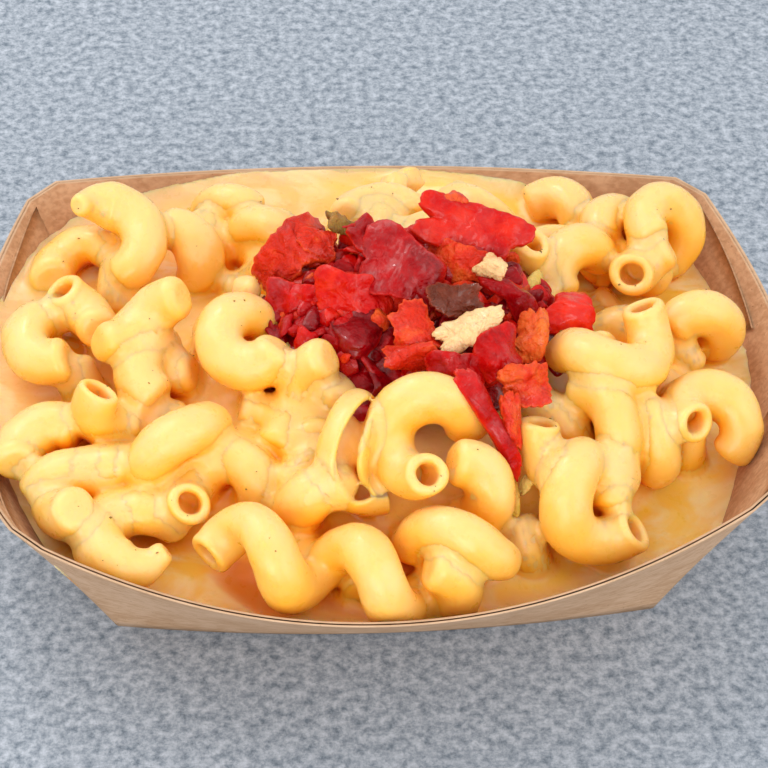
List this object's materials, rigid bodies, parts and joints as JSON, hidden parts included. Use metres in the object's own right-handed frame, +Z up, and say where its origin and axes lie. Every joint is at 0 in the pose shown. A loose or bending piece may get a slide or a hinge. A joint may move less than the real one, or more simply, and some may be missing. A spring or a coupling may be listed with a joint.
{
  "type": "macaroni cheese in paper boat",
  "caption": "Corkscrew macaroni in cheese sauce, heaped in a folded paper boat tray and topped with a pile of roasted pepper pieces.",
  "frame": {"origin": "on the surface that the boat stands on, under the middle of the boat's outline", "axes": "+Z up, +X along the boat's length, +Y from its front wall to its back wall"},
  "size_m": [0.178, 0.1414, 0.0686],
  "materials": {
    "card": "matte",
    "sauce": "glossy",
    "pasta": "satin",
    "pepper_skin": "glossy",
    "pepper_flesh": "glossy",
    "onion": "glossy",
    "herb": "satin",
    "char": "satin"
  },
  "bodies": {
    "root": {"boat_outer": "card", "boat_inner": "card", "sauce": "sauce", "pasta_heap": "pasta", "pepper_bed": "pepper_skin", "pepper_left": "pepper_flesh", "pepper_left_top": "pepper_flesh", "pepper_left_skin": "pepper_skin", "pepper_square": "pepper_skin", "pepper_wedge": "pepper_skin", "pepper_sheet": "pepper_skin", "pepper_fold": "pepper_skin", "herb_bit": "herb", "pepper_back": "pepper_skin", "pepper_back_lump": "pepper_flesh", "pepper_middle": "pepper_flesh", "garlic_bit": "onion", "pepper_right_strip": "pepper_skin", "pepper_far_right": "pepper_skin", "char_bit": "char", "pepper_front_left": "pepper_flesh", "onion_chunk": "onion", "pepper_front_right": "pepper_skin", "pepper_orange": "pepper_flesh", "pepper_front": "pepper_flesh", "pepper_front_strip": "pepper_skin", "pepper_strand": "pepper_skin", "pepper_orange_tip": "pepper_flesh", "pepper_orange_strip": "pepper_flesh"}
  },
  "joints": []
}
